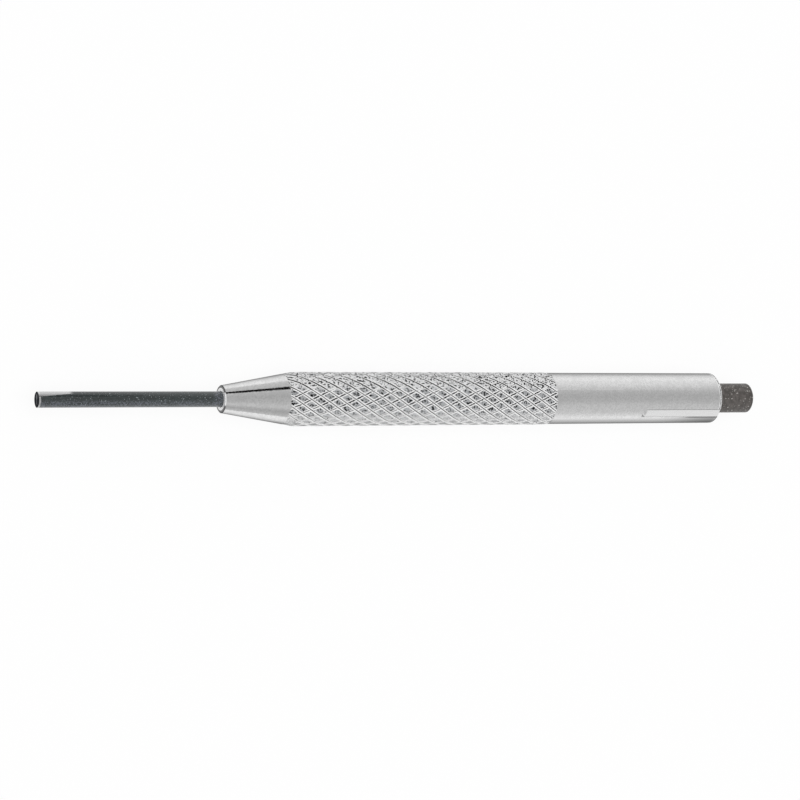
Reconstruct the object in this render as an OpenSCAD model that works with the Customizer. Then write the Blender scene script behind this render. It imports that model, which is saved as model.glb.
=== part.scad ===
// Pin punch with a sliding guide sleeve.
// The axis lies along X: the pin's tip points to -X and the struck end to +X.
// The origin is under the middle of the punch, on the bench that it lies on.

/* [Drift pin] */
// Diameter of the drift pin
pin_d = 2.9; // [2.4:0.1:3.4]
// Length of pin that stands out of the sleeve's nose
pin_reach = 35; // [25:1:45]
// Chamfer round the pin's working face
pin_chamfer = 0.08; // [0.04:0.02:0.4]
// Length of pin that is pressed into the striking rod
pin_seat_depth = 14; // [8:1:20]

/* [Guide sleeve] */
// Diameter of the sleeve's plain part
sleeve_d = 10; // [9.4:0.1:12]
// Length of the sleeve from its nose to its rear end
sleeve_length = 106; // [96:0.5:120]
// Diameter of the flat ring at the nose
nose_d = 5.1; // [4.6:0.1:6]
// Chamfer round the nose
nose_chamfer = 0.12; // [0.05:0.01:0.2]
// Length of the taper behind the nose
taper_length = 14; // [12:0.5:18]
// Length of the bore in the nose that guides the pin
pin_guide_length = 12; // [11:0.5:16]
// Chamfer round the outside of the rear end
rear_chamfer = 0.12; // [0.06:0.02:0.5]
// Chamfer in the mouth of the rod's bore
mouth_chamfer = 0.25; // [0.1:0.05:0.4]

/* [Knurl] */
// Length of the full knurl behind the taper
knurl_length = 54; // [40:1:60]
// Number of grooves that wind each way round the sleeve
knurl_starts = 16; // [12:1:20]
// Angle of the right-hand grooves to the axis
right_hand_angle = 33.5; // [28:0.5:36]
// Angle of the left-hand grooves to the axis
left_hand_angle = 24; // [22:1:32]
// Depth of a groove below the crests
groove_depth = 0.34; // [0.2:0.02:0.5]
// Width of a groove between the crests beside it
groove_width = 0.5; // [0.35:0.05:0.7]
// Height of the crests above the plain part, raised by the knurling rolls
knurl_rise = 0.07; // [0.03:0.01:0.12]
// Length by which the raised crests run on over the plain part
crest_overlap = 0.3; // [0.1:0.1:0.6]

/* [Striking rod] */
// Diameter of the striking rod
rod_d = 5.9; // [5.4:0.1:6.4]
// Length of rod that stands out behind the sleeve
head_reach = 9; // [6:0.5:14]
// Chamfer round the struck face
head_chamfer = 0.3; // [0.1:0.1:0.8]
// Chamfer round the shoulder that rests in the sleeve
shoulder_chamfer = 0.3; // [0.1:0.1:0.6]

/* [Clamp spring] */
// Width of the spring strip
strip_w = 1.6; // [1.3:0.05:1.8]
// Thickness of the spring strip
strip_t = 0.42; // [0.34:0.02:0.46]
// Length of the slot in the sleeve that holds the strip
slot_length = 18; // [14:0.5:22]
// Distance from the sleeve's rear end to the middle of the catch
catch_inset = 4; // [3:0.5:5]
// Depth of the catch below the inner leg
catch_depth = 0.7; // [0.6:0.02:0.76]

/* [As it lies] */
// Turn of the slot from straight up towards the front
slot_turn = 37.5; // [0:0.5:90]

/* [Fits] */
// Gap all round the pin in its guide bore
pin_clearance = 0.05; // [0.02:0.01:0.08]
// Gap all round the rod in the sleeve
rod_clearance = 0.05; // [0.02:0.01:0.08]
// Gap between the strip and each side of its slot
slot_clearance = 0.02; // [0.01:0.01:0.04]
// Gap between the inner leg and the rod's surface
leg_clearance = 0.06; // [0.04:0.01:0.1]
// Gap between the catch and the floor of the rod's groove
catch_clearance = 0.03; // [0.02:0.01:0.06]
// Gap left between the catch and each end of the groove
stop_clearance = 0.15; // [0.1:0.05:0.3]

/* [Hidden] */
$fn = 96;
// Extra length by which a cut runs past the face that it opens
overrun = 1;

// Places along the axis
overall_length = pin_reach + sleeve_length + head_reach;
tip_x = -overall_length / 2;
nose_x = tip_x + pin_reach;
shoulder_x = nose_x + pin_guide_length;
knurl_front_x = nose_x + taper_length;
knurl_rear_x = knurl_front_x + knurl_length;
rear_x = nose_x + sleeve_length;
head_x = rear_x + head_reach;

// The taper's radius at any place along it
taper_rise_per_length = (sleeve_d - nose_d) / 2 / taper_length;
function taper_r(x) = nose_d / 2 + (x - nose_x) * taper_rise_per_length;

// The knurl's surface, between its crests and the bottoms of its grooves
crest_r = sleeve_d / 2 + knurl_rise;
valley_r = crest_r - groove_depth;
axis_z = crest_r;

// Rings of groove crossings lie one ring pitch apart along the axis
hand_sum = tan(right_hand_angle) + tan(left_hand_angle);
ring_pitch = 2 * PI * crest_r / knurl_starts / hand_sum;
runout_length = 2 * groove_depth / taper_rise_per_length;
ring_count = ceil((knurl_length + crest_overlap + runout_length) / ring_pitch);
lattice_x = knurl_rear_x + crest_overlap - ring_count * ring_pitch;
core_r = (taper_r(lattice_x) + valley_r) / 2;

// Part of a cell's width that its groove's side takes up
groove_pitch = 2 * PI * crest_r / knurl_starts * cos((right_hand_angle + left_hand_angle) / 2);
side_share = groove_width / 2 / groove_pitch;

// A point of the knurl where right-hand line a meets left-hand line b, at radius r
function knurl_point(a, b, r) =
    let (along = ring_pitch * (b - a))
    let (turn = 360 * b / knurl_starts - along * tan(left_hand_angle) / crest_r * 180 / PI)
    [lattice_x + along, r * cos(turn), r * sin(turn)];

// Five points for each cell: one groove crossing and the four corners of the flat top
point_kinds = 5;
function cell_index(ring, cell, kind) =
    (ring * knurl_starts + (cell + knurl_starts) % knurl_starts) * point_kinds + kind;
cell_points = [
    for (ring = [0:ring_count], cell = [0:knurl_starts - 1])
        let (a = cell - ring, b = cell, near = side_share, far = 1 - side_share)
        each [
            knurl_point(a, b, valley_r),
            knurl_point(a + near, b + near, crest_r),
            knurl_point(a + far, b + far, crest_r),
            knurl_point(a + far, b + near, crest_r),
            knurl_point(a + near, b + far, crest_r)
        ]
];
// The middle of each end comes last in the list
knurl_points = concat(cell_points, [[lattice_x, 0, 0], [knurl_rear_x + crest_overlap, 0, 0]]);

// The half of a cell that points to the nose
function nose_half(ring, cell) =
    let (low = cell_index(ring, cell, 0), high = cell_index(ring, cell + 1, 0))
    let (tip = cell_index(ring - 1, cell, 0))
    let (top_low = cell_index(ring, cell, 1), top_high = cell_index(ring, cell, 2))
    let (top_tip = cell_index(ring, cell, 3))
    [
        [top_low, top_high, top_tip],
        [low, top_tip, tip], [low, top_low, top_tip],
        [tip, top_high, high], [tip, top_tip, top_high]
    ];

// The half of a cell that points to the struck end
function head_half(ring, cell) =
    let (low = cell_index(ring, cell, 0), high = cell_index(ring, cell + 1, 0))
    let (tip = cell_index(ring + 1, cell + 1, 0))
    let (top_low = cell_index(ring, cell, 1), top_high = cell_index(ring, cell, 2))
    let (top_tip = cell_index(ring, cell, 4))
    [
        [top_low, top_tip, top_high],
        [low, tip, top_tip], [low, top_tip, top_low],
        [tip, high, top_high], [tip, top_high, top_tip]
    ];

// The flat end of the knurl on one ring, as triangles from its middle
function end_fan(ring, middle) = [
    for (cell = [0:knurl_starts - 1])
        let (low = cell_index(ring, cell, 0), high = cell_index(ring, cell + 1, 0))
        let (top_low = cell_index(ring, cell, 1), top_high = cell_index(ring, cell, 2))
        each [[middle, low, top_low], [middle, top_low, top_high], [middle, top_high, high]]
];
function reversed(faces) = [for (face = faces) [face[2], face[1], face[0]]];
knurl_faces = concat(
    [for (ring = [1:ring_count], cell = [0:knurl_starts - 1]) each nose_half(ring, cell)],
    [for (ring = [0:ring_count - 1], cell = [0:knurl_starts - 1]) each head_half(ring, cell)],
    end_fan(0, len(cell_points)),
    reversed(end_fan(ring_count, len(cell_points) + 1))
);

// Spring strip: its outer leg lies flush in the slot and its inner leg bears on the rod
slot_w = strip_w + 2 * slot_clearance;
outer_leg_top = sqrt(pow(sleeve_d / 2, 2) - pow(strip_w / 2, 2));
outer_leg_low = outer_leg_top - strip_t;
inner_leg_low = rod_d / 2 + leg_clearance;
inner_leg_top = inner_leg_low + strip_t;
bend_r = (outer_leg_top - inner_leg_low) / 2;
slot_front_x = rear_x - slot_length;
bend_x = slot_front_x + slot_clearance + bend_r;
strip_rear_x = rear_x - rear_chamfer;
catch_x = rear_x - catch_inset;
// The catch is an arc that leaves the leg at this angle
catch_angle = 60;
catch_mid_r = catch_depth / (1 - cos(catch_angle));
catch_outer_r = catch_mid_r + strip_t / 2;
catch_centre = (inner_leg_low + inner_leg_top) / 2 + catch_mid_r * cos(catch_angle);
catch_low = catch_centre - catch_outer_r;
catch_half_w = catch_mid_r * sin(catch_angle);

// Groove in the rod that the catch runs in, from stop to stop
travel = pin_reach;
groove_floor = catch_low - catch_clearance;
catch_reach = sqrt(pow(catch_outer_r, 2) - pow(catch_centre - rod_d / 2, 2));
groove_front_x = catch_x - catch_reach - travel - stop_clearance;
groove_rear_x = catch_x + catch_reach + stop_clearance;

// Lays the punch on the bench. Its parts are made round the X axis, with the slot facing up
module as_it_lies() {
    translate([0, 0, axis_z]) rotate([slot_turn, 0, 0]) children();
}

// Turns a shape from upright to the sleeve's axis, with its foot at place x
module along_axis(x) {
    translate([x, 0, 0]) rotate([0, 90, 0]) children();
}

module turned(points) {
    rotate([0, 90, 0]) rotate_extrude() polygon(points);
}

module knurled_barrel() {
    polyhedron(points = knurl_points, faces = knurl_faces, convexity = 6);
}

// The outside that the sleeve is turned to, which cuts the knurl back along the taper
module sleeve_envelope() {
    clear_r = crest_r + overrun;
    turned([
        [0, nose_x],
        [nose_d / 2 - nose_chamfer, nose_x],
        [taper_r(nose_x + nose_chamfer), nose_x + nose_chamfer],
        [clear_r, nose_x + (clear_r - nose_d / 2) / taper_rise_per_length],
        [clear_r, rear_x - rear_chamfer - (clear_r - sleeve_d / 2)],
        [sleeve_d / 2 - rear_chamfer, rear_x],
        [0, rear_x]
    ]);
}

// The sleeve before it is bored: bar stock, knurled in the middle and then turned outside
module sleeve_blank() {
    intersection() {
        union() {
            along_axis(nose_x - overrun) cylinder(h = sleeve_length + 2 * overrun, r = core_r);
            along_axis(knurl_rear_x) cylinder(h = rear_x - knurl_rear_x + overrun, d = sleeve_d);
            knurled_barrel();
        }
        sleeve_envelope();
    }
}

module sleeve_bore() {
    bore_r = rod_d / 2 + rod_clearance;
    along_axis(nose_x - overrun) cylinder(h = pin_guide_length + 2 * overrun, d = pin_d + 2 * pin_clearance);
    along_axis(shoulder_x) cylinder(h = rear_x - shoulder_x + overrun, r = bore_r);
    turned([
        [0, rear_x - mouth_chamfer],
        [bore_r, rear_x - mouth_chamfer],
        [bore_r + mouth_chamfer + overrun, rear_x + overrun],
        [0, rear_x + overrun]
    ]);
}

// The slot has square corners and goes through one wall of the sleeve
module spring_slot() {
    translate([slot_front_x, -slot_w / 2, 0]) cube([slot_length + overrun, slot_w, sleeve_d]);
}

module guide_sleeve() {
    color("silver") as_it_lies() difference() {
        sleeve_blank();
        sleeve_bore();
        spring_slot();
    }
}

module rod_groove() {
    translate([groove_front_x, -slot_w / 2, groove_floor])
        cube([groove_rear_x - groove_front_x, slot_w, rod_d]);
}

module striking_rod() {
    color("dimgray") as_it_lies() difference() {
        turned([
            [0, shoulder_x],
            [rod_d / 2 - shoulder_chamfer, shoulder_x],
            [rod_d / 2, shoulder_x + shoulder_chamfer],
            [rod_d / 2, head_x - head_chamfer],
            [rod_d / 2 - head_chamfer, head_x],
            [0, head_x]
        ]);
        along_axis(shoulder_x - overrun) cylinder(h = pin_seat_depth + overrun, d = pin_d);
        rod_groove();
    }
}

module drift_pin() {
    color("darkslategray") as_it_lies() turned([
        [0, tip_x],
        [pin_d / 2 - pin_chamfer, tip_x],
        [pin_d / 2, tip_x + pin_chamfer],
        [pin_d / 2, shoulder_x + pin_seat_depth],
        [0, shoulder_x + pin_seat_depth]
    ]);
}

// Half a ring of strip that joins the two legs at the slot's front end
module strip_bend() {
    difference() {
        translate([bend_x, inner_leg_low + bend_r]) circle(r = bend_r);
        translate([bend_x, inner_leg_low + bend_r]) circle(r = bend_r - strip_t);
        translate([bend_x, inner_leg_low - overrun]) square([bend_r + overrun, 2 * (bend_r + overrun)]);
    }
}

module strip_catch() {
    catch_inner_r = catch_mid_r - strip_t / 2;
    intersection() {
        difference() {
            translate([catch_x, catch_centre]) circle(r = catch_outer_r);
            translate([catch_x, catch_centre]) circle(r = catch_inner_r);
        }
        translate([catch_x, catch_centre]) polygon([
            [0, 0],
            2 * catch_outer_r * [-sin(catch_angle), -cos(catch_angle)],
            [0, -2 * catch_outer_r],
            2 * catch_outer_r * [sin(catch_angle), -cos(catch_angle)]
        ]);
    }
}

module strip_profile() {
    translate([bend_x, outer_leg_low]) square([strip_rear_x - bend_x, strip_t]);
    translate([bend_x, inner_leg_low]) square([catch_x - catch_half_w - bend_x, strip_t]);
    strip_bend();
    strip_catch();
}

module clamp_spring() {
    color("gainsboro") as_it_lies()
        translate([0, strip_w / 2, 0]) rotate([90, 0, 0])
            linear_extrude(height = strip_w) strip_profile();
}

guide_sleeve();
striking_rod();
drift_pin();
clamp_spring();
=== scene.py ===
"""Visual model of a pin punch with a sliding guide sleeve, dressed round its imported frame.

The punch's axis lies along X, with the pin's tip towards -X. Each piece is shaped with the slot facing
straight up and its axis at the origin's height, and is then laid on the bench as the frame has it.
"""

import logging
import math
from dataclasses import dataclass, field
from enum import Enum
from typing import Callable, Sequence

import bpy
from mathutils import Matrix, Vector


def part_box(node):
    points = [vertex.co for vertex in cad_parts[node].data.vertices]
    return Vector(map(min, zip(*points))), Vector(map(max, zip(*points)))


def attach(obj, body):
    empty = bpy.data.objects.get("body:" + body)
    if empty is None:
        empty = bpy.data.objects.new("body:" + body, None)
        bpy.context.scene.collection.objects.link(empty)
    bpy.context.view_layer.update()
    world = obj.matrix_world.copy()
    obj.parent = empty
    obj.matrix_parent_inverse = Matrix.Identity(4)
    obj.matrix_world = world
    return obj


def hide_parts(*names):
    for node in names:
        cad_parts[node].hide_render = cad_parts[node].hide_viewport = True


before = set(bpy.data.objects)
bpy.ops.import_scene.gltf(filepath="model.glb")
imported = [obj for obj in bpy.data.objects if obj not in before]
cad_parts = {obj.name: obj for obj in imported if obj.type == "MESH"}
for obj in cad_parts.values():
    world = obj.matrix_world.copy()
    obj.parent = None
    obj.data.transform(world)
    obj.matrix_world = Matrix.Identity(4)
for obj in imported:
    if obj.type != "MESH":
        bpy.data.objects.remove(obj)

LOG = logging.getLogger("pin_punch")
MM = 0.001
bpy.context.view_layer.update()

# Red, green, blue and alpha
Colour = tuple[float, float, float, float]
# Where a smooth change begins and ends
Span = tuple[float, float]
# Turn of the slot about the axis, as the punch lies
SLOT_TURN = math.radians(37.5)
# How far behind an end face its own finish fades out
END_FACE: Span = (0.02 * MM, 0.04 * MM)


class Body(Enum):
    """The moving bodies that a piece can ride on."""

    SLEEVE = "sleeve"
    PUNCH = "punch"


class Cut(Enum):
    """How one solid changes another."""

    ADD = "UNION"
    REMOVE = "DIFFERENCE"
    KEEP_SHARED = "INTERSECT"


@dataclass(frozen=True)
class Stations:
    """Places along the punch's axis and its main radii, in metres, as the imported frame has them."""

    tip: float
    nose: float
    shoulder: float
    rear: float
    head: float
    axis_height: float
    pin_r: float
    rod_r: float
    crest_r: float

    @classmethod
    def measured(cls) -> "Stations":
        """Reads the stations from the boxes of the frame's nodes.

        Returns:
            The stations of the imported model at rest.
        """
        pin_low, pin_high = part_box("drift_pin")
        sleeve_low, sleeve_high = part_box("guide_sleeve")
        rod_low, rod_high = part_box("striking_rod")
        return cls(
            tip=pin_low[0],
            nose=sleeve_low[0],
            shoulder=rod_low[0],
            rear=sleeve_high[0],
            head=rod_high[0],
            axis_height=(rod_low[2] + rod_high[2]) / 2,
            pin_r=(pin_high[1] - pin_low[1]) / 2,
            rod_r=(rod_high[1] - rod_low[1]) / 2,
            crest_r=(sleeve_high[1] - sleeve_low[1]) / 2,
        )


def nothing_selected() -> None:
    """Leaves edit mode and deselects every object."""
    if bpy.context.object and bpy.context.object.mode != "OBJECT":
        bpy.ops.object.mode_set(mode="OBJECT")
    bpy.ops.object.select_all(action="DESELECT")


class Workpiece:
    """A mesh that is shaped step by step with Blender's own modelling operators."""

    def __init__(self, name: str) -> None:
        """Takes the object that a primitive has just made.

        Args:
            name: The name that the finished piece gets.
        """
        self.obj = bpy.context.object
        self.obj.name = name
        self.obj.data.name = name
        bpy.ops.object.transform_apply()

    @classmethod
    def turned(cls, name: str, profile: Sequence[tuple[float, float]], sides: int) -> "Workpiece":
        """Turns a closed solid from rings that are extruded and scaled one after another.

        Args:
            name: Name of the piece.
            profile: Place along the axis and radius of each ring, in order.
            sides: Number of sides of each ring.

        Returns:
            The solid, in object mode.
        """
        x, radius = profile[0]
        nothing_selected()
        bpy.ops.mesh.primitive_circle_add(
            vertices=sides, radius=radius, location=(x, 0, 0), rotation=(0, math.pi / 2, 0)
        )
        piece = cls(name)
        piece.edit()
        bpy.ops.mesh.edge_face_add()
        for next_x, next_radius in profile[1:]:
            bpy.ops.mesh.extrude_region_move(TRANSFORM_OT_translate={"value": (next_x - x, 0, 0)})
            growth = next_radius / radius
            bpy.ops.transform.resize(value=(1, growth, growth), center_override=(next_x, 0, 0))
            x, radius = next_x, next_radius
        return piece.made_solid()

    @classmethod
    def block(cls, name: str, low: Sequence[float], high: Sequence[float]) -> "Workpiece":
        """Makes a box between two corners.

        Args:
            name: Name of the piece.
            low: Its lowest corner.
            high: Its highest corner.

        Returns:
            The box, in object mode.
        """
        nothing_selected()
        bpy.ops.mesh.primitive_cube_add(size=1, location=[(a + b) / 2 for a, b in zip(low, high)])
        bpy.context.object.scale = [b - a for a, b in zip(low, high)]
        return cls(name)

    def only_selected(self) -> None:
        """Makes this piece the only selected object, in object mode."""
        nothing_selected()
        bpy.context.view_layer.objects.active = self.obj
        self.obj.select_set(True)

    def edit(self) -> None:
        """Opens this piece alone in edit mode, with all of it selected."""
        self.only_selected()
        bpy.ops.object.mode_set(mode="EDIT")
        bpy.ops.mesh.select_all(action="SELECT")

    def pick_faces(self, test: Callable[[Vector, Vector], bool]) -> None:
        """Selects faces by their place and normal, and opens the piece in edit mode.

        Args:
            test: Takes a face's centre and normal, and says whether it is wanted.
        """
        self.edit()
        bpy.ops.mesh.select_all(action="DESELECT")
        bpy.ops.mesh.select_mode(type="FACE")
        bpy.ops.object.mode_set(mode="OBJECT")
        for polygon in self.obj.data.polygons:
            polygon.select = test(polygon.center, polygon.normal)
        bpy.ops.object.mode_set(mode="EDIT")

    def made_solid(self) -> "Workpiece":
        """Merges doubles, turns all faces outwards and goes back to object mode.

        Returns:
            This piece.
        """
        bpy.ops.mesh.select_all(action="SELECT")
        bpy.ops.mesh.remove_doubles(threshold=1e-6)
        bpy.ops.mesh.normals_make_consistent(inside=False)
        bpy.ops.object.mode_set(mode="OBJECT")
        return self

    def modified(self, kind: str, **settings: object) -> "Workpiece":
        """Adds a modifier and applies it at once.

        Args:
            kind: The modifier's type.
            **settings: Values for its properties.

        Returns:
            This piece.
        """
        self.only_selected()
        modifier = self.obj.modifiers.new(kind.lower(), kind)
        for key, value in settings.items():
            setattr(modifier, key, value)
        bpy.ops.object.modifier_apply(modifier=modifier.name)
        return self

    def combined(self, tool: "Workpiece", cut: Cut) -> "Workpiece":
        """Adds, removes or intersects another solid, which is used up.

        Args:
            tool: The other solid.
            cut: What is done with it.

        Returns:
            This piece.
        """
        self.modified("BOOLEAN", operation=cut.value, solver="MANIFOLD", object=tool.obj)
        bpy.data.meshes.remove(tool.obj.data)
        return self

    def eased(self, width: float, angle: float = math.radians(40)) -> "Workpiece":
        """Rounds every edge that is sharper than an angle, in two strips."""
        return self.modified("BEVEL", width=width, segments=2, limit_method="ANGLE", angle_limit=angle)

    def smooth(self, angle: float = math.radians(32)) -> "Workpiece":
        """Shades the piece smooth, but for its sharp edges.

        Args:
            angle: Edges sharper than this stay hard.

        Returns:
            This piece.
        """
        self.only_selected()
        bpy.ops.object.shade_smooth_by_angle(angle=angle)
        return self

    def finished(self, material: bpy.types.Material, height: float, turn: float = SLOT_TURN) -> "Workpiece":
        """Lays the piece where the punch lies on the bench and gives it its finish.

        Args:
            material: The finish.
            height: Height of the punch's axis.
            turn: Turn about the X axis, in radians.

        Returns:
            This piece.
        """
        self.only_selected()
        self.obj.rotation_euler.x = turn
        self.obj.location.z = height
        bpy.ops.object.transform_apply()
        self.obj.data.materials.clear()
        self.obj.data.materials.append(material)
        return self


@dataclass(frozen=True)
class Value:
    """A number or an output socket in a node tree, on which ordinary arithmetic adds nodes."""

    graph: "Graph"
    source: object

    def _math(self, operation: str, *others: object) -> "Value":
        """Adds one Math node on this value and others, and returns its result."""
        return self.graph.add("ShaderNodeMath", {"operation": operation}, dict(enumerate([self, *others])))

    def __add__(self, other: object) -> "Value":
        """Adds another value."""
        return self._math("ADD", other)

    __radd__ = __add__

    def __sub__(self, other: object) -> "Value":
        """Takes another value away."""
        return self._math("SUBTRACT", other)

    def __rsub__(self, other: object) -> "Value":
        """Takes this value from a number."""
        return Value(self.graph, other)._math("SUBTRACT", self)

    def __mul__(self, other: object) -> "Value":
        """Multiplies by another value."""
        return self._math("MULTIPLY", other)

    __rmul__ = __mul__

    def __truediv__(self, other: object) -> "Value":
        """Divides by another value."""
        return self._math("DIVIDE", other)

    def root(self) -> "Value":
        """Takes the square root."""
        return self._math("SQRT")

    def distance(self) -> "Value":
        """Takes the distance from zero."""
        return (self * self).root()

    def angle(self, across: object) -> "Value":
        """Takes the angle of a point from its place across and, as this value, its height."""
        return self._math("ARCTAN2", across)

    def to_line(self, pitch: float) -> "Value":
        """Takes the distance to the nearest of a set of lines that lie one pitch apart."""
        return self._math("PINGPONG", pitch / 2)

    def lesser(self, other: object) -> "Value":
        """Takes the lesser of two values."""
        return self._math("MINIMUM", other)

    def greater(self, other: object) -> "Value":
        """Takes the greater of two values."""
        return self._math("MAXIMUM", other)

    def step(self, low: float, high: float, start: float = 0.0, end: float = 1.0) -> "Value":
        """Goes smoothly from start to end while this value goes from low to high."""
        sockets = {"Value": self, "From Min": low, "From Max": high, "To Min": start, "To Max": end}
        return self.graph.add("ShaderNodeMapRange", {"interpolation_type": "SMOOTHSTEP"}, sockets)

    def fade(self, low: float, high: float) -> "Value":
        """Goes smoothly from one to zero while this value goes from low to high."""
        return self.step(low, high, 1, 0)


class Graph:
    """A node tree that is written as expressions."""

    def __init__(self, owner: bpy.types.Material | bpy.types.World) -> None:
        """Empties the tree of a material or of the world, and takes it over.

        Args:
            owner: What the tree belongs to.
        """
        owner.use_nodes = True
        self.owner = owner
        self.tree = owner.node_tree
        self.tree.nodes.clear()

    def add(
        self, kind: str, settings: dict[str, object], sockets: dict[object, object], out: object = 0
    ) -> Value:
        """Adds a node.

        Args:
            kind: The node's type.
            settings: Its properties, and for a ramp its stops, which are set first.
            sockets: Values or links of its input sockets, by name or number.
            out: Name or number of the output that is returned.

        Returns:
            The chosen output.
        """
        node = self.tree.nodes.new(kind)
        for key, value in settings.items():
            if key == "stops":
                self._set_stops(node.color_ramp, value)
            else:
                setattr(node, key, value)
        for key, value in sockets.items():
            value = value.source if isinstance(value, Value) else value
            if isinstance(value, bpy.types.NodeSocket):
                self.tree.links.new(value, node.inputs[key])
            else:
                node.inputs[key].default_value = value
        return Value(self, node.outputs[out] if node.outputs else node)

    @staticmethod
    def _set_stops(ramp: bpy.types.ColorRamp, stops: Sequence[tuple[float, float]]) -> None:
        """Gives a new ramp grey stops.

        Args:
            ramp: The ramp, with its first two stops.
            stops: Place and brightness of each stop, in order.
        """
        ramp.elements.remove(ramp.elements[1])
        for index, (place, level) in enumerate(stops):
            element = ramp.elements[0] if index == 0 else ramp.elements.new(place)
            element.position = place
            element.color = (level, level, level, 1)

    def place(self) -> tuple[Value, Value, Value, Value]:
        """Gives a point's own coordinates on its piece.

        Returns:
            The whole vector, and its X, Y and Z.
        """
        vector = self.add("ShaderNodeTexCoord", {}, {}, "Object")
        parts = [self.add("ShaderNodeSeparateXYZ", {}, {0: vector}, axis) for axis in "XYZ"]
        return vector, *parts

    def noise(
        self, vector: Value, size: float, detail: float = 3, rough: float = 0.5,
        stretch: Sequence[float] | None = None,
    ) -> Value:
        """Adds a noise pattern.

        Args:
            vector: Where it is read.
            size: Size of its blotches, in metres.
            detail: How many finer layers it has.
            rough: How strong the finer layers are.
            stretch: Factors on the coordinates, below one along an axis that the blotches are long on.

        Returns:
            A value round 0.5.
        """
        if stretch:
            vector = self.add("ShaderNodeMapping", {}, {"Vector": vector, "Scale": stretch})
        sockets = {"Vector": vector, "Scale": 1 / size, "Detail": detail, "Roughness": rough}
        return self.add("ShaderNodeTexNoise", {}, sockets)

    def blend(self, share: Value, first: object, second: object) -> Value:
        """Mixes two colours, with a share of the second."""
        sockets = {"Factor": share, 6: first, 7: second}
        return self.add("ShaderNodeMix", {"data_type": "RGBA"}, sockets, 2)

    def layered(self, colour: object, layers: Sequence[tuple[Value, object]]) -> object:
        """Lays colours over a first one, each where its own mask shows it.

        Args:
            colour: The first colour.
            layers: Mask and colour of each layer, from the lowest up.

        Returns:
            The colour of them all.
        """
        for share, layer in layers:
            colour = self.blend(share, colour, layer)
        return colour

    def bumped(self, reliefs: Sequence[tuple[Value, float]]) -> Value:
        """Turns height patterns into one bumped normal.

        Args:
            reliefs: Each pattern and how high a height of one stands in it, in metres.

        Returns:
            The normal.
        """
        normal = {}
        for pattern, height in reliefs:
            sockets = {"Height": pattern, "Distance": height, **normal}
            normal = {"Normal": self.add("ShaderNodeBump", {}, sockets)}
        return normal["Normal"]

    def surfaced(self, surface: Value) -> bpy.types.Material:
        """Puts a shader on the material's output and gives the finished material."""
        self.add("ShaderNodeOutputMaterial", {}, {"Surface": surface})
        return self.owner


def shifted(span: Span, start: float) -> Span:
    """Gives a span that counts from a start in the coordinates of the whole."""
    return start + span[0], start + span[1]


def grey(level: float, warmth: float = 0.0) -> Colour:
    """Gives a grey with its alpha, and with a share moved from blue to red."""
    return (level * (1 + warmth), level, level * (1 - warmth), 1)


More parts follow.
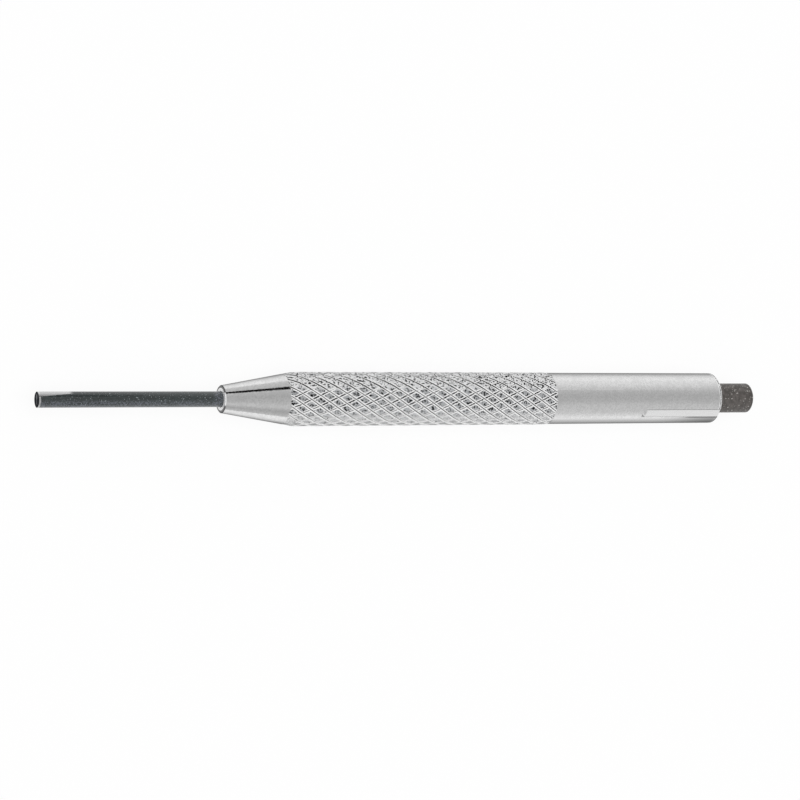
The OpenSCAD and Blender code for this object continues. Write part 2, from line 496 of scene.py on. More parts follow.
@dataclass
class SleeveMarks:
    """Where the sleeve's finish and its painted light and shade change, as masks from 0 to 1.

    Edges in the knurl count from a groove's bottom line, bands from the axis across the bench or up, and
    runs from the end of a part of the sleeve.
    """

    graph: Graph
    knurl: "Knurl"
    raggedness: float = 1.2 * MM
    overlap: float = 1.9 * MM
    front_run: Span = (0.0, 0.1 * MM)
    rear_run: Span = (0.0, 0.3 * MM)
    taper_run: Span = (-0.8 * MM, 0.0)
    taper_cut_run: Span = (-0.2 * MM, 0.0)
    near_band: Span = (-3.8 * MM, -1.8 * MM)
    far_band: Span = (1.2 * MM, 2.6 * MM)
    upper_band: Span = (0.0, 1.2 * MM)
    top_band: Span = (0.8 * MM, 1.8 * MM)
    shaded_side_band: Span = (-4.4 * MM, -3.8 * MM)
    far_left_lift: float = 0.20 * MM
    far_right_width: float = 0.08 * MM
    top_width: float = 0.09 * MM
    crossing: Span = (0.22 * MM, 0.32 * MM)
    crossing_lift: float = 0.2 * MM
    bottom_edge: Span = (0.04 * MM, 0.08 * MM)
    lip_edge: Span = (0.31 * MM, 0.36 * MM)
    blank_edge: Span = (0.32 * MM, 0.37 * MM)
    blank_raggedness: float = 0.2 * MM
    dot_edge: Span = (0.16 * MM, 0.20 * MM)
    rear_highlight_band: Span = (-0.62 * MM, -0.56 * MM)
    rear_shade_line: float = -0.34 * MM
    rear_shade_line_half: Span = (0.06 * MM, 0.12 * MM)

    def __post_init__(self) -> None:
        """Works out the places, the grains and then all masks."""
        sizes = self.knurl.sizes
        self.nose, self.rear = sizes.stations.nose, sizes.stations.rear
        self.vector, self.x, self.y, z = self.graph.place()
        self.up = z - sizes.stations.axis_height
        self.aside = self.y.distance()
        self.radius = (self.y * self.y + self.up * self.up).root()
        self.coarse = self.graph.noise(self.vector, 0.4 * MM, 2)
        self.grain = self.graph.noise(self.vector, 0.22 * MM, 2)
        self.blotches = self.graph.noise(self.vector, 1.6 * MM, 4, 0.6)
        self.ragged = self.x + (self.coarse - 0.5) * self.raggedness
        # Side masks: much of the painted light and shade below differs between the -Y and +Y sides.
        self.near_side = self.y.fade(*self.near_band)
        self.far_side = self.y.step(*self.far_band) * self.up.step(*self.upper_band)
        self.tapered = self.x.fade(*shifted(self.taper_run, sizes.taper_rear))
        self.cut_taper = self.x.fade(*shifted(self.taper_cut_run, sizes.taper_rear))
        # Painted highlight: a light band round the last 0.6 mm before the rear end, with a painted shade line
        # round its middle.
        self.rear_highlight_mask = self.x.step(*shifted(self.rear_highlight_band, self.rear))
        from_line = (self.x - (self.rear + self.rear_shade_line)).distance()
        self.rear_shade_mask = from_line.fade(*self.rear_shade_line_half) * self.grain.step(0.40, 0.50)
        self._find_knurl()

    def _find_knurl(self) -> None:
        """Finds the knurl's grooves with the painted shade in their bottoms, its lips, the blank tops of its
        cells and the pits in them.
        """
        sizes = self.knurl.sizes
        around = (self.up.angle(self.y) - SLOT_TURN) * sizes.stations.crest_r
        along = self.x - self.knurl.front
        right = self._to_groove(around - along * math.tan(self.knurl.right_hand), self.knurl.right_hand)
        left = self._to_groove(around + along * math.tan(self.knurl.left_hand), self.knurl.left_hand)
        # Painted light: on the far side the left-hand grooves are drawn fainter.
        left = left + self.far_side * self.far_left_lift
        knurled = self.ragged.step(*shifted(self.front_run, sizes.taper_rear - self.overlap))
        self.knurled = knurled * self.x.fade(*shifted(self.rear_run, sizes.knurl_rear))
        self.near = right.lesser(left)
        self.formed = self.near.fade(*self.lip_edge) * self.knurled
        unformed = self.near + (self.coarse - 0.5) * self.blank_raggedness
        self.unformed = unformed.step(*self.blank_edge) * self.knurled
        pits = self.graph.noise(self.vector, 0.34 * MM, 1, 0.4).step(0.565, 0.58)
        pits = pits * (1 - self.near_side * 0.8) * self.unformed
        dots = self.graph.noise(self.vector, 0.28 * MM, 0, 0).step(0.74, 0.76)
        self.pits = pits.greater(dots * self.near.step(*self.dot_edge) * self.knurled)
        # Painted shade in the groove bottoms: the right-hand ones wider on the far side, the left-hand ones
        # wider on top and gone near the crossings, all weaker on the near side.
        on_top = self.aside.fade(*self.top_band) * self.grain.step(0.45, 0.50) * self.top_width
        crossed = right.step(*self.crossing, self.crossing_lift, 0)
        bottom = (right - self.far_side * self.far_right_width).lesser(left - on_top + crossed)
        self.bottom = bottom.fade(*self.bottom_edge) * self.knurled * (1 - self.near_side * 0.6)

    def _to_groove(self, sheet: Value, lead: float) -> Value:
        """Gives the distance square to the nearest groove, on a sheet with the grooves' lead taken off."""
        return sheet.to_line(self.knurl.cell_height) * math.cos(lead)


@dataclass(frozen=True)
class NickelPlate:
    """Satin nickel plate on the turned and knurled sleeve."""

    plate: float = 0.84
    dull_and_shade: float = 0.70
    lip: float = 0.95
    blank: float = 0.70
    far_blank_lit: float = 0.95
    pit: float = 0.02
    groove: float = 0.05
    rear_highlight: float = 0.97
    rear_shade_line: float = 0.12
    slot_shade: float = 0.30
    slot_shadow_line: float = 0.08
    nose_reflection_light: float = 0.96
    nose_reflection_dark: float = 0.06
    lapped: float = 0.95
    lip_haze: float = 0.78
    edge_tint: float = 0.24
    roughness: float = 0.20
    taper_roughness: float = 0.09
    far_taper_roughness: float = 0.12
    lip_roughness: float = 0.16
    blank_roughness: float = 0.34
    slot_side: Span = (-3.80 * MM, -3.70 * MM)
    shade_run: Span = (-15 * MM, 0.0)
    shade_rise: Span = (0.2 * MM, 1.8 * MM)
    shadow_line_side: Span = (-3.92 * MM, -3.86 * MM)
    shadow_line_run: Span = (-9 * MM, -6 * MM)
    nose_reflection_side: Span = (1.0 * MM, 1.4 * MM)
    nose_rim: Span = (0.12 * MM, 0.18 * MM)
    face_rim: Span = (2.06 * MM, 2.12 * MM)

    def material(self, knurl: "Knurl") -> bpy.types.Material:
        """Builds the material.

        Args:
            knurl: The knurl that it is made for.

        Returns:
            The material.
        """
        graph = Graph(bpy.data.materials.new("satin_nickel_plate"))
        marks = SleeveMarks(graph, knurl)
        normal = self._relief(marks)
        behind_nose = marks.x - marks.nose
        # Painted reflection: the nose's rounded rim and the outer ring of its face are light where Y is small
        # and nearly black towards the sides, standing in for dark surroundings.
        nose_reflection = graph.blend(marks.aside.step(*self.nose_reflection_side), grey(self.nose_reflection_light), grey(self.nose_reflection_dark))
        colour = graph.blend(behind_nose.fade(*self.nose_rim) * 0.95, self._colour(marks), nose_reflection)
        sockets = {"Base Color": colour, "Metallic": self._metal(marks), "Roughness": self._rough(marks)}
        sockets |= {"Normal": normal, "Specular Tint": grey(self.edge_tint)}
        plated = graph.add("ShaderNodeBsdfPrincipled", {}, sockets)
        faced = graph.blend(marks.radius.step(*self.face_rim) * 0.95, grey(self.lapped), nose_reflection)
        sockets = {"Base Color": faced, "Metallic": 0.3, "Roughness": 0.2, "Normal": normal}
        lapped = graph.add("ShaderNodeBsdfPrincipled", {}, sockets)
        at_nose = behind_nose.fade(*END_FACE)
        return graph.surfaced(graph.add("ShaderNodeMixShader", {}, {0: at_nose, 1: plated, 2: lapped}))

    def _colour(self, marks: SleeveMarks) -> object:
        """Colours the plate, the knurl, the rear end and the slot's side, with painted light and shade among
        them.

        Args:
            marks: Where the finish changes.

        Returns:
            The colour.
        """
        blotched = (marks.blotches.step(0.42, 0.70) * 0.6).greater(marks.coarse.step(0.46, 0.60) * 0.6)
        beside_slot = marks.y.fade(*self.slot_side)
        shade = beside_slot * marks.x.step(*shifted(self.shade_run, marks.rear))
        # Painted shadow: a thin dark line along the slot's edge over the last few millimetres, beside the
        # painted shade.
        line = beside_slot * marks.y.step(*self.shadow_line_side)
        return marks.graph.layered(grey(self.plate), (
            # Dull blotches, and painted shade along the -Y flank where Y is below about -4 mm.
            (blotched.greater(marks.y.fade(*marks.shaded_side_band)), grey(self.dull_and_shade)),
            (marks.formed, grey(self.lip)),
            # Painted light: the blank tops' grey is weaker on the near side, and lighter tops are laid on the
            # far side.
            (marks.unformed * (1 - marks.near_side * 0.7), grey(self.blank, -0.02)),
            (marks.unformed * marks.far_side * 0.7, grey(self.far_blank_lit)),
            # Painted shade in the groove bottoms.
            (marks.bottom, grey(self.groove, 0.02)),
            (marks.pits, grey(self.pit)),
            # Painted highlight and painted shade line at the rear end.
            (marks.rear_highlight_mask * 0.8, grey(self.rear_highlight)),
            (marks.rear_shade_mask, grey(self.rear_shade_line)),
            (shade * marks.up.step(*self.shade_rise) * 0.8, grey(self.slot_shade)),
            # Painted shadow line beside the slot.
            (line * (marks.ragged - marks.rear).step(*self.shadow_line_run) * 0.9, grey(self.slot_shadow_line)),
        ))

    def _rough(self, marks: SleeveMarks) -> Value:
        """Gives the taper, the knurl's lips and the blank tops of its cells their own roughness.

        Args:
            marks: Where the finish changes.

        Returns:
            The roughness.
        """
        rough = self.roughness + (marks.blotches - 0.5) * 0.10
        rough = rough + marks.tapered * (self.taper_roughness - self.roughness)
        rough = rough + marks.tapered * (marks.y / marks.radius).step(0.50, 0.80) * self.far_taper_roughness
        rough = rough + marks.formed * (self.lip_roughness - self.roughness)
        return rough + marks.unformed * (self.blank_roughness - self.lip_roughness)

    def _metal(self, marks: SleeveMarks) -> Value:
        """Hazes the lips, the far side's blank tops and the rear end's painted highlight, which mirror less
        than the rest.

        Args:
            marks: Where the finish changes.

        Returns:
            The share that shines as metal.
        """
        hazy = (marks.formed * (1 - marks.near_side * 0.6)).greater(marks.unformed * marks.far_side * 0.6)
        hazy = hazy * (1 - marks.bottom) * (1 - marks.pits)
        hazy = hazy.greater(marks.rear_highlight_mask * (1 - marks.rear_shade_mask) * 0.6)
        return 1 - hazy * self.lip_haze

    @staticmethod
    def _relief(marks: SleeveMarks) -> Value:
        """Gives the plate its grain, turning lines and pits, and the knurl its faint end on the taper.

        Args:
            marks: Where the finish changes.

        Returns:
            The bumped normal.
        """
        graph = marks.graph
        turning = graph.noise(marks.vector, 0.09 * MM, 2, 0.6, stretch=(1, 0.08, 0.08))
        fine = graph.noise(marks.vector, 0.3 * MM, 4, 0.6)
        cell = marks.near.step(0, 0.2 * MM) - marks.near.step(0.2 * MM, 0.34 * MM) * 0.4
        return graph.bumped((
            (fine, 0.004 * MM),
            (marks.coarse * marks.tapered, 0.010 * MM),
            (fine * marks.unformed, 0.12 * MM),
            (turning * (1 - marks.knurled), 0.0015 * MM),
            (cell * marks.knurled * marks.cut_taper, 0.12 * MM),
            (marks.pits, -0.08 * MM),
        ))


@dataclass(frozen=True)
class DarkSteel:
    """Dark hardened steel with fine specks, painted light along its -Y side, a painted reflection beside the
    nose, a painted dark end face and an end rim and wedge that are partly wear and partly painted highlight,
    as on the pin.
    """

    name: str = "dark_blued_steel"
    base: Colour = (0.010, 0.016, 0.016, 1)
    speck: Colour = (0.30, 0.33, 0.34, 1)
    wear_and_highlight: Colour = (0.70, 0.70, 0.70, 1)
    painted_light: Colour = (0.12, 0.13, 0.16, 1)
    black: Colour = (0.009, 0.010, 0.015, 1)
    lighter: float = 1.7
    painted_light_share: float = 0.8
    painted_dark_face: float = 0.95
    roughness: float = 0.16
    index: float = 1.8
    speck_size: float = 0.2 * MM
    rim_width: float = 0.30 * MM
    rubbed_highlight_angle: float = math.radians(22)
    rubbed_highlight_length: float = 5.6 * MM
    streak_half: Span = (0.1 * MM, 0.25 * MM)
    streak_reach: Span = (0.7 * MM, 1.1 * MM)
    rubbed_highlight_back: Span = (1.6, 2.0)
    painted_light_side: Span = (-0.8 * MM, 0.1 * MM)
    pin_reflection_span: Span = (-2.1 * MM, -1.4 * MM)

    def material(self, stations: Stations, end_x: float) -> bpy.types.Material:
        """Builds the material.

        Args:
            stations: The punch's stations.
            end_x: Place of the end face along the axis, where wear and a painted highlight brighten the rim.

        Returns:
            The material.
        """
        graph = Graph(bpy.data.materials.new(self.name))
        vector, x, y, z = graph.place()
        up = z - stations.axis_height
        side = y.angle(up)
        mottle = graph.noise(vector, 0.9 * MM, 4, 0.6)
        drawn = graph.noise(vector, 0.12 * MM, 3, 0.6, stretch=(0.05, 1, 1))
        to_end = (x - end_x).distance()
        face = to_end.fade(*END_FACE)
        # Painted reflection: the end face is painted as a black matt surface with a lighter streak across its
        # middle, standing in for what the face reflects.
        streak = up.distance().fade(*self.streak_half) * y.distance().fade(*self.streak_reach)
        painted_dark_face = face * (1 - streak * 0.35) * self.painted_dark_face
        ragged = to_end + (mottle - 0.5) * (0.2 * MM)
        # Partly wear, partly painted highlight: a bright ring round the end, lighter towards +Y, and a bright
        # wedge within a few millimetres of the end on the +Y side of the top.
        rim = ragged.fade(self.rim_width, self.rim_width + 0.1 * MM) * (1 - face)
        rubbed_highlight = side - to_end * (self.rubbed_highlight_angle / self.rubbed_highlight_length) + (mottle - 0.5) * 0.12
        rubbed_highlight = rubbed_highlight.step(self.rubbed_highlight_angle - 0.05, self.rubbed_highlight_angle + 0.05)
        rubbed_highlight = rubbed_highlight * (side + (mottle - 0.5) * 0.8).fade(*self.rubbed_highlight_back)
        rubbed_highlight = rubbed_highlight * ragged.fade(self.rubbed_highlight_length, self.rubbed_highlight_length * 1.2)
        wear_and_highlight = (rim * y.step(0, 0.6 * MM, 0.65, 1)).greater(rubbed_highlight * 0.8)
        # Painted light: a lighter mottled colour over the -Y side, and beside the nose a painted reflection
        # of the nose's face.
        from_nose = x - stations.nose
        beside_nose = from_nose.step(*self.pin_reflection_span) * from_nose.fade(0, 0.1 * MM)
        painted_light = graph.noise(vector, 0.24 * MM, 2).step(0.42, 0.62)
        painted_light = painted_light * y.fade(*self.painted_light_side).greater(beside_nose) * self.painted_light_share
        lighter = (*(self.lighter * part for part in self.base[:3]), 1)
        colour = graph.layered(self.base, (
            (mottle.step(0.38, 0.66), lighter),
            (drawn.step(0.55, 0.75) * 0.5, lighter),
            (painted_light, self.painted_light),
            (graph.noise(vector, self.speck_size, 1, 0.4).step(0.69, 0.73), self.speck),
            (wear_and_highlight, self.wear_and_highlight),
        ))
        normal = graph.bumped(((drawn, 0.004 * MM), (graph.noise(vector, 0.16 * MM, 3, 0.6), 0.005 * MM)))
        sockets = {"Base Color": colour, "Metallic": wear_and_highlight, "Normal": normal, "IOR": self.index}
        sockets["Roughness"] = self.roughness + (mottle - 0.5) * 0.16
        steel = graph.add("ShaderNodeBsdfPrincipled", {}, sockets)
        painted_dark_shader = graph.add("ShaderNodeBsdfDiffuse", {}, {"Color": self.black})
        return graph.surfaced(graph.add("ShaderNodeMixShader", {}, {0: painted_dark_face, 1: steel, 2: painted_dark_shader}))


@dataclass(frozen=True)
class BrightStrip:
    """Bright rolled spring strip with fine lines along it."""

    base: float = 0.97
    line: float = 0.80
    roughness: float = 0.22

    def material(self) -> bpy.types.Material:
        """Builds the material.

        Returns:
            The material.
        """
        graph = Graph(bpy.data.materials.new("bright_spring_strip"))
        vector = graph.place()[0]
        lines = graph.noise(vector, 0.1 * MM, 3, 0.6, stretch=(0.03, 1, 1))
        blotches = graph.noise(vector, 0.7 * MM, 3, 0.6)
        share = lines.step(0.5, 0.7) * 0.4 + blotches.step(0.6, 0.75) * 0.3
        sockets = {"Base Color": graph.blend(share, grey(self.base), grey(self.line)), "Metallic": 1.0}
        sockets["Roughness"] = self.roughness + (blotches - 0.5) * 0.2
        sockets["Normal"] = graph.bumped(((lines, 0.003 * MM),))
        return graph.surfaced(graph.add("ShaderNodeBsdfPrincipled", {}, sockets))


@dataclass
class SleeveSizes:
    """Sizes of the guide sleeve that the frame's boxes don't give, in metres."""

    stations: Stations
    plain_r: float = 5.0 * MM
    nose_r: float = 2.55 * MM
    nose_chamfer: float = 0.12 * MM
    taper_length: float = 14 * MM
    knurl_length: float = 54 * MM
    pin_gap: float = 0.05 * MM
    rod_gap: float = 0.05 * MM
    rear_chamfer: float = 0.12 * MM
    mouth_chamfer: float = 0.25 * MM
    nose_mouth_chamfer: float = 0.03 * MM
    slot_length: float = 18 * MM
    slot_width: float = 1.64 * MM
    slot_edge: float = 0.08 * MM
    crest_overlap: float = 0.3 * MM
    overrun: float = 1 * MM

    @property
    def taper_slope(self) -> float:
        """Growth of the taper's radius along the axis."""
        return (self.plain_r - self.nose_r) / self.taper_length

    @property
    def taper_rear(self) -> float:
        """Place where the taper meets the plain radius."""
        return self.stations.nose + self.taper_length

    @property
    def knurl_rear(self) -> float:
        """Place of the knurl's rear end."""
        return self.taper_rear + self.knurl_length


@dataclass
class Knurl:
    """A rolled diamond knurl, made as one cell that is repeated and rolled round the axis."""

    sizes: SleeveSizes
    starts: int = 16
    right_hand: float = math.radians(33.5)
    left_hand: float = math.radians(24)
    groove_depth: float = 0.34 * MM
    # Width and rise of each strip from a groove's bottom to the cell's middle
    strips: dict[str, tuple[float, float]] = field(default_factory=lambda: {
        "wall": (0.04 * MM, 0.17 * MM), "shoulder": (0.07 * MM, 0.10 * MM), "brow": (0.08 * MM, 0.07 * MM),
        "lip": (0.03 * MM, 0.0), "fall": (0.11 * MM, -0.05 * MM), "dish": (0.15 * MM, -0.02 * MM),
    })

    @property
    def cell_height(self) -> float:
        """Distance round the sleeve between grooves of one hand."""
        return 2 * math.pi * self.sizes.stations.crest_r / self.starts

    @property
    def ring_pitch(self) -> float:
        """Distance along the axis between rings of groove crossings."""
        return self.cell_height / (math.tan(self.right_hand) + math.tan(self.left_hand))

    @property
    def ring_count(self) -> int:
        """Number of rings that reach from the rear end past the taper's deepest groove."""
        runout = 2 * self.groove_depth / self.sizes.taper_slope
        return math.ceil((self.sizes.knurl_length + self.sizes.crest_overlap + runout) / self.ring_pitch)

    @property
    def front(self) -> float:
        """Place of the first ring."""
        rear = self.sizes.knurl_rear + self.sizes.crest_overlap
        return rear - self.ring_count * self.ring_pitch

    @property
    def core_r(self) -> float:
        """Radius of the stock under the knurl, between the taper at the first ring and the grooves."""
        taper_r = self.sizes.nose_r + (self.front - self.sizes.stations.nose) * self.sizes.taper_slope
        return (taper_r + self.sizes.stations.crest_r - self.groove_depth) / 2

    def cell(self) -> Workpiece:
        """Models one cell flat: a diamond between four grooves, with a raised lip and a dished top.

        Returns:
            The cell, with its edges at the bottoms of the grooves.
        """
        nothing_selected()
        bpy.ops.mesh.primitive_plane_add(size=1)
        piece = Workpiece("guide_sleeve_knurl")
        pitch, height = self.ring_pitch, self.cell_height
        rise_left = pitch * math.tan(self.left_hand)
        rise_right = pitch * math.tan(self.right_hand)
        corners = {
            (0, 0): (0, 0), (1, 0): (pitch, rise_right), (0, 1): (-pitch, rise_left), (1, 1): (0, height),
        }
        for vertex in piece.obj.data.vertices:
            key = (int(vertex.co.x > 0), int(vertex.co.y > 0))
            vertex.co = (*corners[key], -self.groove_depth)
        piece.edit()
        for thickness, depth in self.strips.values():
            bpy.ops.mesh.inset(thickness=thickness, depth=depth)
        bpy.ops.mesh.select_all(action="SELECT")
        bpy.ops.mesh.subdivide(number_cuts=1)
        bpy.ops.object.mode_set(mode="OBJECT")
        return piece

    def barrel(self) -> Workpiece:
        """Repeats the cell round and along the sleeve, rolls the sheet up and closes its ends.

        Returns:
            A closed knurled barrel on the X axis.
        """
        piece = self.cell()
        around = (0, self.cell_height, 0)
        along = (self.ring_pitch, self.ring_pitch * math.tan(self.right_hand), 0)
        for count, step in ((self.starts, around), (self.ring_count + 1, along)):
            piece.modified(
                "ARRAY", count=count, use_relative_offset=False, use_constant_offset=True,
                constant_offset_displace=step, use_merge_vertices=True, merge_threshold=1e-6,
            )
        for vertex in piece.obj.data.vertices:
            turn = vertex.co.y / self.sizes.stations.crest_r
            radius = self.sizes.stations.crest_r + vertex.co.z
            vertex.co = (self.front + vertex.co.x, radius * math.cos(turn), radius * math.sin(turn))
        piece.edit()
        bpy.ops.mesh.remove_doubles(threshold=2e-6)
        rear = self.sizes.knurl_rear + self.sizes.crest_overlap
        for place, side in ((self.front, -1), (rear, 1)):
            bpy.ops.mesh.select_all(action="SELECT")
            bpy.ops.mesh.bisect(
                plane_co=(place, 0, 0), plane_no=(side, 0, 0), use_fill=True, clear_outer=True, threshold=1e-7
            )
        return piece.made_solid()


@dataclass
class GuideSleeve:
    """The knurled sleeve with its taper, bores and spring slot."""

    sizes: SleeveSizes
    finish: NickelPlate = field(default_factory=NickelPlate)
    sides: int = 192

    def envelope(self) -> Workpiece:
        """Models the outside that the knurled stock is turned to.

        Returns:
            The solid that the sleeve stays inside.
        """
        s = self.sizes
        nose, rear = s.stations.nose, s.stations.rear
        clear_r = s.stations.crest_r + s.overrun
        profile = [
            (nose, s.nose_r - s.nose_chamfer),
            (nose + s.nose_chamfer, s.nose_r + s.nose_chamfer * s.taper_slope),
            (nose + (clear_r - s.nose_r) / s.taper_slope, clear_r),
            (rear - s.rear_chamfer - (clear_r - s.plain_r), clear_r),
            (rear, s.plain_r - s.rear_chamfer),
        ]
        return Workpiece.turned("sleeve_envelope", profile, self.sides)

    def slot(self) -> Workpiece:
        """Models what is milled out for the spring, a little wider where it meets the outside.

        Returns:
            The solid that is taken away.
        """
        s = self.sizes
        half, edge = s.slot_width / 2, s.slot_edge
        rim = math.sqrt(s.plain_r**2 - half**2)
        low = (s.stations.rear - s.slot_length, -half, 0)
        piece = Workpiece.block("sleeve_slot", low, (s.stations.rear + s.overrun, half, rim - edge))
        piece.pick_faces(lambda centre, normal: normal.z > 0.5)
        for height in (edge, s.overrun):
            bpy.ops.mesh.extrude_region_move(TRANSFORM_OT_translate={"value": (0, 0, height)})
            bpy.ops.transform.resize(value=(1, 1 + height / half, 1), center_override=(0, 0, 0))
        return piece.made_solid()

    def make(self) -> Workpiece:
        """Models the sleeve and lays it on the bench.

        Returns:
            The finished piece.
        """
        s, knurl = self.sizes, Knurl(self.sizes)
        nose, rear, over = s.stations.nose, s.stations.rear, s.overrun
        piece = knurl.barrel()
        core = [(nose - over, knurl.core_r), (rear + over, knurl.core_r)]
        plain = [(s.knurl_rear, s.plain_r), (rear + over, s.plain_r)]
        piece.combined(Workpiece.turned("sleeve_core", core, self.sides), Cut.ADD)
        piece.combined(Workpiece.turned("sleeve_plain", plain, self.sides), Cut.ADD)
        piece.combined(self.envelope(), Cut.KEEP_SHARED)
        pin_r = s.stations.pin_r + s.pin_gap
        rod_r = s.stations.rod_r + s.rod_gap
        bore = [
            (nose - over, pin_r + s.nose_mouth_chamfer),
            (nose, pin_r + s.nose_mouth_chamfer),
            (nose + s.nose_mouth_chamfer, pin_r),
            (s.stations.shoulder, pin_r),
            (s.stations.shoulder, rod_r),
            (rear - s.mouth_chamfer, rod_r),
            (rear, rod_r + s.mouth_chamfer),
            (rear + over, rod_r + s.mouth_chamfer),
        ]
        piece.combined(Workpiece.turned("sleeve_bore", bore, self.sides), Cut.REMOVE)
        piece.combined(self.slot(), Cut.REMOVE)
        piece.obj.name = "guide_sleeve_knurled"
        return piece.smooth(math.radians(27)).finished(self.finish.material(knurl), s.stations.axis_height)


@dataclass
class DriftPin:
    """The thin pin that is driven through the work."""

    stations: Stations
    finish: DarkSteel = field(default_factory=DarkSteel)
    chamfer: float = 0.04 * MM
    seat_depth: float = 14 * MM
    crown: float = 0.02 * MM
    sides: int = 96

    def make(self) -> Workpiece:
        """Models the pin from its crowned tip to the end of its seat.

        Returns:
            The finished piece.
        """
        s = self.stations
        face_r = s.pin_r - self.chamfer
        profile = [
            (s.tip, face_r * 0.5),
            (s.tip + self.crown * 0.5, face_r),
            (s.tip + self.chamfer, s.pin_r),
            (s.nose, s.pin_r),
            (s.shoulder + self.seat_depth, s.pin_r),
        ]
        piece = Workpiece.turned("drift_pin_ground", profile, self.sides)
        piece.eased(0.02 * MM, math.radians(25)).smooth()
        return piece.finished(self.finish.material(s, s.tip), s.axis_height, turn=0)


@dataclass
class StrikingRod:
    """The rod behind the pin, with its struck end and the groove that the spring runs in."""

    stations: Stations
    finish: DarkSteel
    chamfer: float = 0.3 * MM
    shoulder_chamfer: float = 0.3 * MM
    crown: float = 0.06 * MM
    groove_width: float = 1.64 * MM
    groove_floor: float = 2.28 * MM
    groove_front: float = 25.4 * MM
    groove_rear: float = 63.4 * MM
    seat_depth: float = 14 * MM
    sides: int = 128

    def make(self) -> Workpiece:
        """Models the rod.

        Returns:
            The finished piece.
        """
        s = self.stations
        face_r = s.rod_r - self.chamfer
        profile = [
            (s.shoulder, s.rod_r - self.shoulder_chamfer),
            (s.shoulder + self.shoulder_chamfer, s.rod_r),
            (s.rear, s.rod_r),
            (s.head - self.chamfer, s.rod_r),
            (s.head - self.crown, face_r),
            (s.head, face_r * 0.45),
        ]
        piece = Workpiece.turned("striking_rod_turned", profile, self.sides)
        half = self.groove_width / 2
        low, high = (self.groove_front, -half, self.groove_floor), (self.groove_rear, half, 2 * s.rod_r)
        piece.combined(Workpiece.block("rod_groove", low, high), Cut.REMOVE)
        seat = [(s.shoulder - self.shoulder_chamfer, s.pin_r), (s.shoulder + self.seat_depth, s.pin_r)]
        piece.combined(Workpiece.turned("rod_seat", seat, 96), Cut.REMOVE)
        piece.eased(0.08 * MM, math.radians(25)).smooth()
        return piece.finished(self.finish.material(s, s.head), s.axis_height)


@dataclass
class ClampSpring:
    """The bent strip in the sleeve's slot, with a catch that runs in the rod's groove."""

    sizes: SleeveSizes
    finish: BrightStrip = field(default_factory=BrightStrip)
    width: float = 1.6 * MM
    thickness: float = 0.42 * MM
    side_gap: float = 0.02 * MM
    leg_gap: float = 0.06 * MM
    catch_inset: float = 4 * MM
    catch_depth: float = 0.7 * MM
    catch_angle: float = math.radians(60)
    bend_steps: int = 12
    edge: float = 0.08 * MM

    def make(self) -> Workpiece:
        """Bends the strip: outer leg, half turn at the slot's front, inner leg and catch.

        Returns:
            The finished piece.
        """
        s = self.sizes
        rear, half = s.stations.rear, self.width / 2
        outer_top = math.sqrt(s.plain_r**2 - half**2)
        inner_low = s.stations.rod_r + self.leg_gap
        bend_r = (outer_top - inner_low) / 2
        bend_x = rear - s.slot_length + self.side_gap + bend_r
        low = (bend_x, -half, outer_top - self.thickness)
        piece = Workpiece.block("clamp_spring_bent", low, (rear - s.rear_chamfer, half, outer_top))
        piece.pick_faces(lambda centre, normal: normal.x < -0.5)
        self._sweep(math.pi, (bend_x, 0, inner_low + bend_r))
        catch_mid_r = self.catch_depth / (1 - math.cos(self.catch_angle))
        catch_x = rear - self.catch_inset
        leg_middle = inner_low + self.thickness / 2
        catch_centre = (catch_x, 0, leg_middle + catch_mid_r * math.cos(self.catch_angle))
        leg_end = catch_x - catch_mid_r * math.sin(self.catch_angle)
        for length in (leg_end - self.thickness - bend_x, self.thickness):
            bpy.ops.mesh.extrude_region_move(TRANSFORM_OT_translate={"value": (length, 0, 0)})
        kink = (leg_end, 0, leg_middle)
        bpy.ops.transform.rotate(value=-self.catch_angle, orient_axis="Y", center_override=kink)
        self._sweep(2 * self.catch_angle, catch_centre)
        piece.made_solid()
        piece.eased(self.edge).smooth().modified("WEIGHTED_NORMAL", keep_sharp=True)
        return piece.finished(self.finish.material(), s.stations.axis_height)

    def _sweep(self, angle: float, centre: Sequence[float]) -> None:
        """Sweeps the selected end face of the strip round a centre."""
        bpy.ops.mesh.spin(steps=self.bend_steps, angle=angle, center=centre, axis=(0, 1, 0))


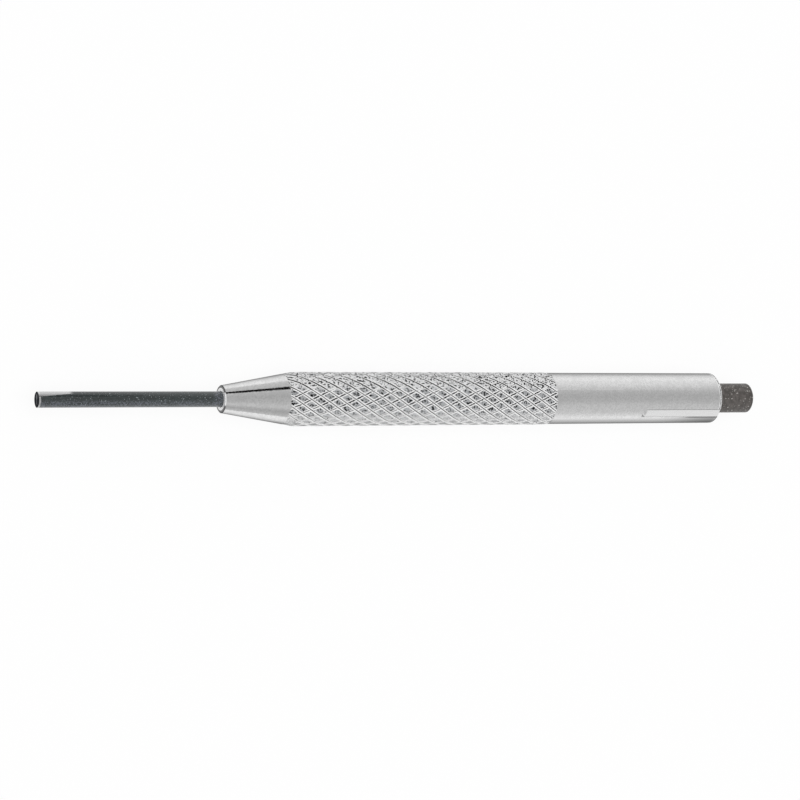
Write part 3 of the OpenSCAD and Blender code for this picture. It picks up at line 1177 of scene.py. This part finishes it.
@dataclass
class Studio:
    """Pale bench, soft light from all round and the camera at the photograph's angle."""

    stations: Stations
    yaw: float = math.radians(26)
    lens: float = 111.6
    distance: float = 470.6 * MM
    aim_behind_tip: float = 71.6 * MM
    roll: float = math.radians(-0.152)
    drop: float = 0.235 * MM
    bench_size: float = 4.0
    bench_level: float = 0.94
    bench_glow: float = 0.90
    seam: tuple[Span, Span] = ((42, 45), (56, 59))
    seam_rear: Span = (-0.5, -0.4)
    tip_side: Span = (0.18, 0.28)
    tip_lean: Span = (0.01, 0.03)
    tip_shade: float = 0.30
    ends: Span = (0.62, 0.85)
    ends_level: float = 0.92
    panels: tuple[tuple[float, float], ...] = (
        (-90, 0.88), (-80, 0.78), (-66, 0.66), (-30, 0.60), (-12, 0.50), (14, 0.47),
        (34, 0.54), (47, 0.66), (60, 0.80), (90, 0.90),
    )
    lamp_height: float = 1.2
    lamp_side: float = 1.0
    lamp_power: float = 0.45 * 1.25 * math.pi**2

    def camera(self) -> None:
        """Places the camera above the punch, on the tip's side of square."""
        nothing_selected()
        bpy.ops.object.camera_add()
        camera = bpy.context.object
        camera.name = "photo_camera"
        camera.data.sensor_width = 36
        camera.data.lens = self.lens
        camera.data.clip_start = 0.01
        camera.data.clip_end = 20
        back = Vector((-math.sin(self.yaw), 0, math.cos(self.yaw)))
        aim = Vector((self.stations.tip + self.aim_behind_tip, -self.drop, self.stations.axis_height))
        up = Vector((0, 1, 0))
        right = up.cross(back)
        turned = Matrix.Rotation(self.roll, 3, back)
        axes = Matrix((turned @ right, turned @ up, back)).transposed()
        camera.matrix_world = Matrix.Translation(aim + back * self.distance) @ axes.to_4x4()
        bpy.context.scene.camera = camera

    def bench(self) -> None:
        """Lays a matt white bench under the punch."""
        nothing_selected()
        bpy.ops.mesh.primitive_plane_add(size=self.bench_size)
        bench = bpy.context.object
        bench.name = "bench"
        graph = Graph(bpy.data.materials.new("matt_white_bench"))
        level = self.bench_level + (graph.noise(graph.place()[0], 40 * MM, 2) - 0.5) * 0.01
        colour = graph.blend(level, grey(0), grey(1))
        matt = graph.add("ShaderNodeBsdfDiffuse", {}, {"Color": colour})
        glow = graph.add("ShaderNodeEmission", {}, {"Color": grey(1)})
        rays = ("Is Camera Ray", "Is Glossy Ray", "Is Transmission Ray")
        seen = [graph.add("ShaderNodeLightPath", {}, {}, ray) for ray in rays]
        share = seen[0].greater(seen[1]).greater(seen[2]) * self.bench_glow
        surface = graph.add("ShaderNodeMixShader", {}, {0: share, 1: matt, 2: glow})
        bench.data.materials.append(graph.surfaced(surface))

    def surroundings(self) -> None:
        """Lights the scene from a grey ceiling with bright sides and ends, a dark seam and a shaded tip."""
        world = bpy.data.worlds.new("studio")
        bpy.context.scene.world = world
        graph = Graph(world)
        direction = graph.add("ShaderNodeTexCoord", {}, {}, "Generated")
        x, y, z = (graph.add("ShaderNodeSeparateXYZ", {}, {0: direction}, axis) for axis in "XYZ")
        turn = y.angle(z) / (2 * math.pi) + 0.5
        stops = [(self._share(angle), level) for angle, level in self.panels]
        level = graph.add("ShaderNodeValToRGB", {"stops": stops}, {"Fac": turn})
        opening, closing = ([self._share(angle) for angle in edge] for edge in self.seam)
        at_tip = x.fade(*self.tip_side)
        seam = turn.step(*opening) * turn.fade(*closing)
        level = level * (1 - seam * at_tip * x.step(*self.seam_rear))
        lean = turn - 0.5
        level = level * (1 - (lean * lean).step(*self.tip_lean) * at_tip * self.tip_shade)
        level = level.greater((x * x).step(*self.ends) * self.ends_level)
        lit = graph.add("ShaderNodeBackground", {}, {"Color": grey(1), "Strength": level})
        graph.add("ShaderNodeOutputWorld", {}, {"Surface": lit})

    @staticmethod
    def _share(angle: float) -> float:
        """Gives the share of a full turn at an angle in degrees, where straight up is a half."""
        return 0.5 + angle / 360

    def overhead(self) -> None:
        """Hangs a wide soft lamp over the bench that doesn't show in the metal."""
        nothing_selected()
        bpy.ops.object.light_add(type="AREA", location=(0, 0, self.lamp_height))
        lamp = bpy.context.object
        lamp.name = "overhead_lamp"
        lamp.data.shape = "SQUARE"
        lamp.data.size = self.lamp_side
        lamp.data.energy = self.lamp_power * self.lamp_height**2
        lamp.visible_glossy = False

    def make(self) -> None:
        """Sets the stage, the light and the camera."""
        self.camera()
        self.bench()
        self.surroundings()
        self.overhead()
        bpy.context.scene.view_settings.view_transform = "Standard"


def seated(piece: Workpiece, node: str, body: Body) -> None:
    """Gives a finished piece its place in the frame and reports it.

    Args:
        piece: The finished piece.
        node: The frame's node that it stands for.
        body: The body that it moves with.
    """
    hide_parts(node)
    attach(piece.obj, body.value)
    LOG.info("%s: %d faces, rides on %s", piece.obj.name, len(piece.obj.data.polygons), body.value)


def main() -> None:
    """Builds the punch piece by piece and sets up the studio."""
    logging.basicConfig(level=logging.INFO, format="%(message)s")
    stations = Stations.measured()
    sizes = SleeveSizes(stations)
    rod_steel = DarkSteel(
        "matt_dark_steel", base=(0.076, 0.069, 0.065, 1), speck=(0.8, 0.78, 0.74, 1),
        wear_and_highlight=(0.20, 0.19, 0.18, 1), painted_light=(0.11, 0.105, 0.10, 1), painted_light_share=0.5, painted_dark_face=0.0,
        roughness=0.40, index=1.22, speck_size=0.3 * MM, rim_width=0.02 * MM, rubbed_highlight_angle=4.0,
        rubbed_highlight_length=0.1 * MM,
    )
    Studio(stations).make()
    seated(GuideSleeve(sizes).make(), "guide_sleeve", Body.SLEEVE)
    seated(ClampSpring(sizes).make(), "clamp_spring", Body.SLEEVE)
    seated(StrikingRod(stations, rod_steel).make(), "striking_rod", Body.PUNCH)
    seated(DriftPin(stations).make(), "drift_pin", Body.PUNCH)
    nothing_selected()
    bpy.context.view_layer.update()


if __name__ == "__main__":
    main()
